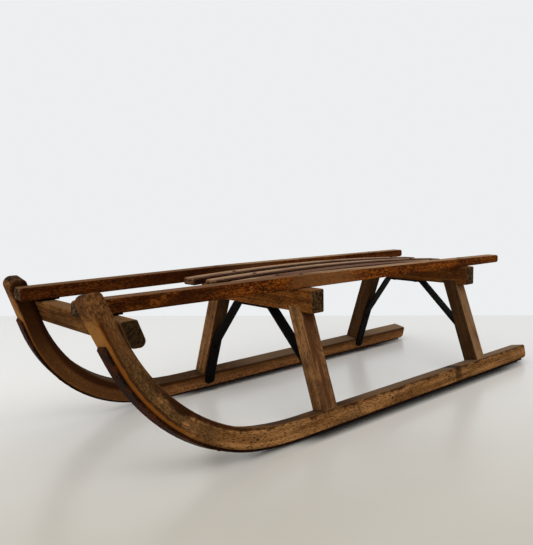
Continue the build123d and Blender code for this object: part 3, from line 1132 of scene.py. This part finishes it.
@dataclass
class Deck(SubAssembly):
    """Rails, slats and the bolsters under them, with their screws."""

    bolster_x: dict[str, float] = field(default_factory=LEG_X.copy)
    rail_tail: tuple[float, float] = (-0.4563, 0.121)
    rail_slope: float = -0.0290
    slat_y: dict[str, float] = field(
        default_factory=lambda: {"left": 0.052, "middle": 0.0, "right": -0.052})
    # Screws in the front bolster that are off its middle
    screw_shift: dict[str, float] = field(default_factory=lambda: {
        "rail_left": -0.003, "slat_middle": 0.006, "slat_right": 0.009, "rail_right": 0.009})
    # Height above the deck that the screws' places are looked for from
    above: float = 0.4
    first_turn: float = 20.0
    next_turn: float = 67.0

    def build(self) -> None:
        """Dress the deck's nodes and add its screws."""
        self.dress(RAIL_WOOD, [f"rail_{side}" for side in SIDES])
        self.dress(SLAT_WOOD, [f"slat_{name}" for name in self.slat_y])
        self.dress(BOLSTER_WOOD, [f"bolster_{which}" for which in self.bolster_x])
        screws = bmesh.new()
        turn = self.first_turn
        for which, x in self.bolster_x.items():
            shifts = self.screw_shift if which == "front" else {}
            for node, y in self._crossings(x):
                start = Vector((x + shifts.get(node, 0.0), y, self.above))
                seat, facing = self.seat(node, start, -UP)
                WOOD_SCREW.add_to(screws, seat, facing, turn)
                turn += self.next_turn
        self.add_piece(screws, "deck_screws", STAY_IRON)

    def _crossings(self, x: float) -> list[tuple[str, float]]:
        """Rails and slats that cross a bolster.

        Args:
            x: Place of the bolster.

        Returns:
            Their names and middles.
        """
        rail_y = self.rail_tail[1] + (x - self.rail_tail[0]) * self.rail_slope
        rails = [(f"rail_{side}", sign * rail_y) for side, sign in SIDES.items()]
        return rails + [(f"slat_{name}", y) for name, y in self.slat_y.items()]


@dataclass
class LegFrames(SubAssembly):
    """Legs with the iron stays that brace them, and the stays' screws."""

    leg_x: dict[str, float] = field(default_factory=LEG_X.copy)
    screw_heights: tuple[float, ...] = (0.021, 0.085)
    strap_middle: dict[str, float] = field(default_factory=lambda: {"front": -0.0075, "rear": -0.0145})
    bolster_screw_y: float = 0.028
    # Height under the bolster that its screws' places are looked for from
    under_bolster: float = 0.1
    first_turn: float = 35.0
    next_turn: float = 51.0

    def build(self) -> None:
        """Dress legs and stays, and screw the stays to runner, leg and bolster."""
        self.dress(LEG_WOOD, [f"leg_{which}_{side}" for which in self.leg_x for side in SIDES])
        self.dress(STAY_IRON, [f"stay_{which}" for which in self.leg_x])
        screws = bmesh.new()
        turn = self.first_turn
        for which, x in self.leg_x.items():
            for sign in SIDES.values():
                for height in self.screw_heights:
                    start = Vector((x, 0.0, height))
                    seat, facing = self.seat(f"stay_{which}", start, Vector((0.0, sign, 0.0)))
                    STAY_SCREW.add_to(screws, seat, facing, turn)
                    turn += self.next_turn
                y = self.strap_middle[which] + sign * self.bolster_screw_y
                seat, facing = self.seat(f"stay_{which}", Vector((x, y, self.under_bolster)), UP)
                STAY_SCREW.add_to(screws, seat, facing, turn)
        self.add_piece(screws, "stay_screws", STAY_IRON)


@dataclass
class Runners(SubAssembly):
    """Bent runners and their iron shoes, with the shoes' nails and a few stray pins."""

    line: RunnerLine = RUNNER_LINE
    sole_nail_x: tuple[float, ...] = (-0.47, -0.33, -0.17, -0.02, 0.12, 0.21)
    bend_nail_turns: tuple[float, ...] = (22.0, 44.0, 64.0)
    middle: float = 0.015
    # Place along the sled and height up the lean, on the left runner's outer face
    pins: tuple[tuple[float, float], ...] = ((-0.203, 0.019), (0.276, 0.0235), (-0.03, 0.016))
    # Distances outside wood and shoe that the heads' places are looked for from
    outside: float = 0.05
    outside_bend: float = 0.08

    def build(self) -> None:
        """Dress runners and shoes, and nail the shoes on."""
        self.dress(RUNNER_WOOD, [f"runner_{side}" for side in SIDES])
        self.dress(SHOE_IRON, [f"shoe_{side}" for side in SIDES])
        nails = bmesh.new()
        for side, sign in SIDES.items():
            for start, way in self._nail_lines(sign):
                seat, facing = self.seat(f"shoe_{side}", start, way)
                NAIL.add_to(nails, seat, facing, 0.0)
        self.add_piece(nails, "shoe_nails", SHOE_IRON)
        pins = bmesh.new()
        for x, height in self.pins:
            start = self.line.point(x, height, -self.outside, 1)
            seat, facing = self.seat("runner_left", start, self.line.point(x, height, 0.0, 1) - start)
            PIN.add_to(pins, seat, facing, 0.0)
        self.add_piece(pins, "runner_pins", STAY_IRON)

    def _nail_lines(self, sign: int) -> list[tuple[Vector, Vector]]:
        """Lines from outside to the nails' places on a shoe.

        Args:
            sign: 1 for the left shoe, -1 for the right.

        Returns:
            Start and direction of each line.
        """
        line = self.line
        up = line.way(0.0, 1.0, sign)
        lines = [(line.point(x, -self.outside, self.middle, sign), up) for x in self.sole_nail_x]
        reach = line.bend_radius + self.outside_bend
        for turn in self.bend_nail_turns:
            sine, cosine = math.sin(math.radians(turn)), math.cos(math.radians(turn))
            x, height = line.bend_x + reach * sine, line.bend_height - reach * cosine
            lines.append((line.point(x, height, self.middle, sign), line.way(-sine, cosine, sign)))
        return lines


@dataclass
class Prow(SubAssembly):
    """Crossbar behind the horns and the iron strips on it."""

    def build(self) -> None:
        """Dress the crossbar and its strips."""
        self.dress(CROSSBAR_WOOD, ["crossbar_front"])
        self.dress(STAY_IRON, [f"horn_strap_{side}" for side in SIDES])


@dataclass(frozen=True)
class FloorPaint:
    """Pale floor paint, with painted shade creamier in front and a painted contact shadow where the
    runners' straights lie on it.
    """

    pale: Colour = (0.81, 0.80, 0.77)
    # Colour of the painted shade towards the front, creamier than the rest
    front_shade: Colour = (0.49, 0.455, 0.388)
    # Colour of the painted contact shadow
    contact_shadow: Colour = (0.020, 0.018, 0.014)
    clouds: Clouds = Clouds(5.0, 5.0)
    cloudiness: float = 0.2
    # Ways and span of the painted shade towards the front
    front_shade_x: float = 0.75
    front_shade_y: float = 1.25
    front_shade_span: Span = (-0.3, 1.15)
    # Reach, span, stretch and strength of the painted contact shadow
    contact_reach: float = 0.022
    contact_span: Span = (0.03, 0.30)
    contact_x: Stretch = (-0.53, -0.38, 0.14, 0.22)
    contact_shadow_strength: float = 0.92
    roughness: float = 0.24
    gloss: float = 0.35

    def material(self) -> bpy.types.Material:
        """Make the floor's material.

        Returns:
            The material.
        """
        sheet, material = ShaderSheet.for_material("floor_paint", self.pale)
        x, y, _ = sheet.split(sheet.place())
        # Painted shade, darker and creamier towards the front
        forward = x * self.front_shade_x + y * self.front_shade_y + sheet.clouded(self.clouds) * self.cloudiness
        sheet.paint(sheet.window(forward, self.front_shade_span), self.front_shade)
        # Painted contact shadow round the runners' straights, from an occlusion mask
        shadowed = sheet.window(sheet.tucked(self.contact_reach), self.contact_span)
        shadowed = shadowed * sheet.band(x, self.contact_x)
        sheet.paint(shadowed * self.contact_shadow_strength, self.contact_shadow)
        sockets = {"Roughness": self.roughness, "Specular IOR Level": self.gloss}
        sockets["Base Color"] = sheet.colour
        shader = sheet.node("ShaderNodeBsdfPrincipled", {}, sockets)
        sheet.node("ShaderNodeOutputMaterial", {}, {"Surface": shader})
        return material


@dataclass(frozen=True)
class Lamp:
    """Soft square lamp that shines on the sled: where it stands, length of its sides and watts."""

    name: str
    place: Vector
    size: float
    watts: float
    aim: Vector = field(default_factory=lambda: Vector((0.0, 0.0, 0.1)))

    def hang(self) -> None:
        """Put the lamp in the scene."""
        light = bpy.data.lights.new(self.name, "AREA")
        light.size = self.size
        light.energy = self.watts
        lamp = bpy.data.objects.new(self.name, light)
        lamp.location = self.place
        lamp.rotation_euler = (self.aim - self.place).to_track_quat("-Z", "Y").to_euler()
        bpy.context.scene.collection.objects.link(lamp)


@dataclass
class Studio:
    """Floor, light and camera, in metres and degrees."""

    eye: Vector = field(default_factory=lambda: Vector((0.84535, 0.83998, 0.36542)))
    yaw: float = 48.29
    pitch: float = 6.62
    roll: float = -0.95
    focal_px: float = 647.99
    frame_px: float = 545.0
    sensor_mm: float = 36.0
    floor_back: float = 1.978
    floor_front: float = 4.0
    floor_half: float = 6.0
    floor_turn: float = -4.7
    light_colour: Colour = (1.0, 1.0, 1.0)
    light_strength: float = 0.7
    wall_colour: Colour = (0.845, 0.862, 0.875)
    wall_strength: float = 1.0
    lamps: tuple[Lamp, ...] = (
        Lamp("key", Vector((0.9, 1.9, 2.4)), 2.6, 40.0),
        Lamp("fill", Vector((2.2, -0.6, 1.6)), 2.0, 14.0))

    def build(self) -> None:
        """Set up the whole studio."""
        bpy.context.scene.view_settings.view_transform = "Standard"
        self._camera()
        self._floor()
        self._world()
        for lamp in self.lamps:
            lamp.hang()
        log.info("studio: floor, camera and %d lamps", len(self.lamps))

    def _axes(self) -> tuple[Vector, Vector, Vector]:
        """Directions of the camera.

        Returns:
            Its right, up and forward.
        """
        yaw, pitch, roll = (math.radians(angle) for angle in (self.yaw, self.pitch, self.roll))
        level_reach = math.cos(pitch)
        forward = Vector((-math.cos(yaw) * level_reach, -math.sin(yaw) * level_reach, -math.sin(pitch)))
        level = forward.cross(UP).normalized()
        upright = level.cross(forward)
        right = math.cos(roll) * level + math.sin(roll) * upright
        return right, -math.sin(roll) * level + math.cos(roll) * upright, forward

    def _camera(self) -> None:
        """Camera at the photograph's angle."""
        right, up, forward = self._axes()
        lens = bpy.data.cameras.new("camera")
        lens.sensor_width = self.sensor_mm
        lens.lens = self.focal_px * self.sensor_mm / self.frame_px
        camera = bpy.data.objects.new("camera", lens)
        turn = Matrix((right, up, -forward)).transposed().to_4x4()
        camera.matrix_world = Matrix.Translation(self.eye) @ turn
        bpy.context.scene.collection.objects.link(camera)
        bpy.context.scene.camera = camera

    def _floor(self) -> None:
        """Floor that ends in a straight line behind the sled."""
        bm = bmesh.new()
        bmesh.ops.create_grid(bm, x_segments=1, y_segments=1, size=1.0)
        half_length = (self.floor_back + self.floor_front) / 2
        bmesh.ops.scale(bm, vec=(half_length, self.floor_half, 1.0), verts=bm.verts)
        bmesh.ops.translate(bm, vec=(half_length - self.floor_back, 0.0, 0.0), verts=bm.verts)
        turn = math.radians(self.yaw + self.floor_turn)
        under_eye = Matrix.Translation(Vector((self.eye.x, self.eye.y, 0.0)))
        bmesh.ops.transform(bm, matrix=under_eye @ Matrix.Rotation(turn, 4, "Z"), verts=bm.verts)
        mesh = bpy.data.meshes.new("floor")
        bm.to_mesh(mesh)
        bm.free()
        mesh.materials.append(FloorPaint().material())
        floor = bpy.data.objects.new("floor", mesh)
        bpy.context.scene.collection.objects.link(floor)

    def _world(self) -> None:
        """Even light from all round, with a pale wall colour where the camera or a gloss looks."""
        world = bpy.data.worlds.new("studio")
        world.use_nodes = True
        bpy.context.scene.world = world
        sheet = ShaderSheet(world.node_tree)
        path = sheet.node("ShaderNodeLightPath").socket.node.outputs
        rays = ("Is Camera Ray", "Is Glossy Ray", "Is Transmission Ray")
        camera, gloss, glass = (Signal(sheet, path[name]) for name in rays)
        shown = sheet.maths("MAXIMUM", sheet.maths("MAXIMUM", camera, gloss), glass)
        light = {"Color": self.light_colour, "Strength": self.light_strength}
        wall = {"Color": self.wall_colour, "Strength": self.wall_strength}
        lit, walled = (sheet.node("ShaderNodeBackground", {}, sockets) for sockets in (light, wall))
        both = sheet.node("ShaderNodeMixShader", {}, {0: shown, 1: lit, 2: walled})
        sheet.node("ShaderNodeOutputWorld", {}, {"Surface": both})


def main() -> None:
    """Build the sled's looks piece by piece."""
    logging.basicConfig(level=logging.INFO)
    shelf = FinishShelf()
    for group in (Runners(shelf), LegFrames(shelf), Deck(shelf), Prow(shelf)):
        group.build()
    Studio().build()


if __name__ == "__main__":
    main()
